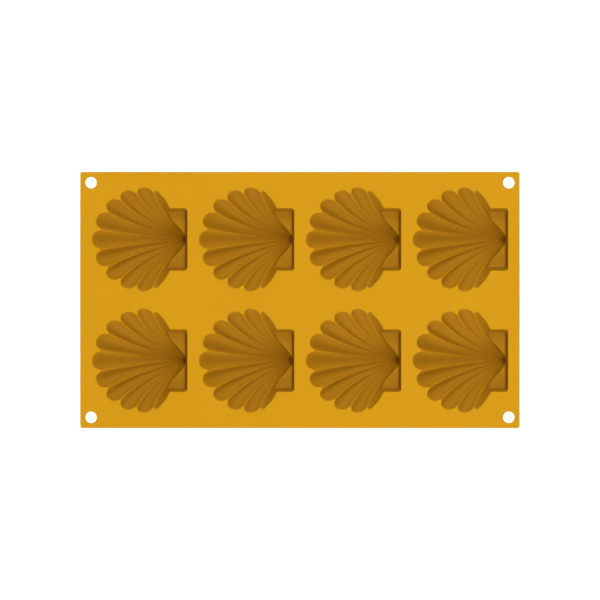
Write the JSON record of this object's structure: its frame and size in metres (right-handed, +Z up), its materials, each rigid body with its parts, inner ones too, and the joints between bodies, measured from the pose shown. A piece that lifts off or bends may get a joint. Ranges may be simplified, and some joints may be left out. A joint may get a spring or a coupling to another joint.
{
  "type": "silicone baking mould",
  "caption": "Flexible silicone baking mould: a flat sheet with scallop-shell cups in two rows, each with a fluted fan and a straight hinge pocket, and a hanging hole in each corner.",
  "frame": {"origin": "under the middle of the sheet, on the plane that the cups stand on", "axes": "+X along the sheet's long side, towards the hinge edges of the shells; +Y along its short side; +Z up, out of the open cavities"},
  "size_m": [0.3, 0.175, 0.019],
  "materials": {
    "silicone": "satin golden-ochre silicone, more polished inside the cavities"
  },
  "bodies": {
    "root": {"top_sheet": "silicone", "shell_cup_front_1": "silicone", "shell_cup_front_2": "silicone", "shell_cup_front_3": "silicone", "shell_cup_front_4": "silicone", "shell_cup_back_1": "silicone", "shell_cup_back_2": "silicone", "shell_cup_back_3": "silicone", "shell_cup_back_4": "silicone"}
  },
  "joints": []
}
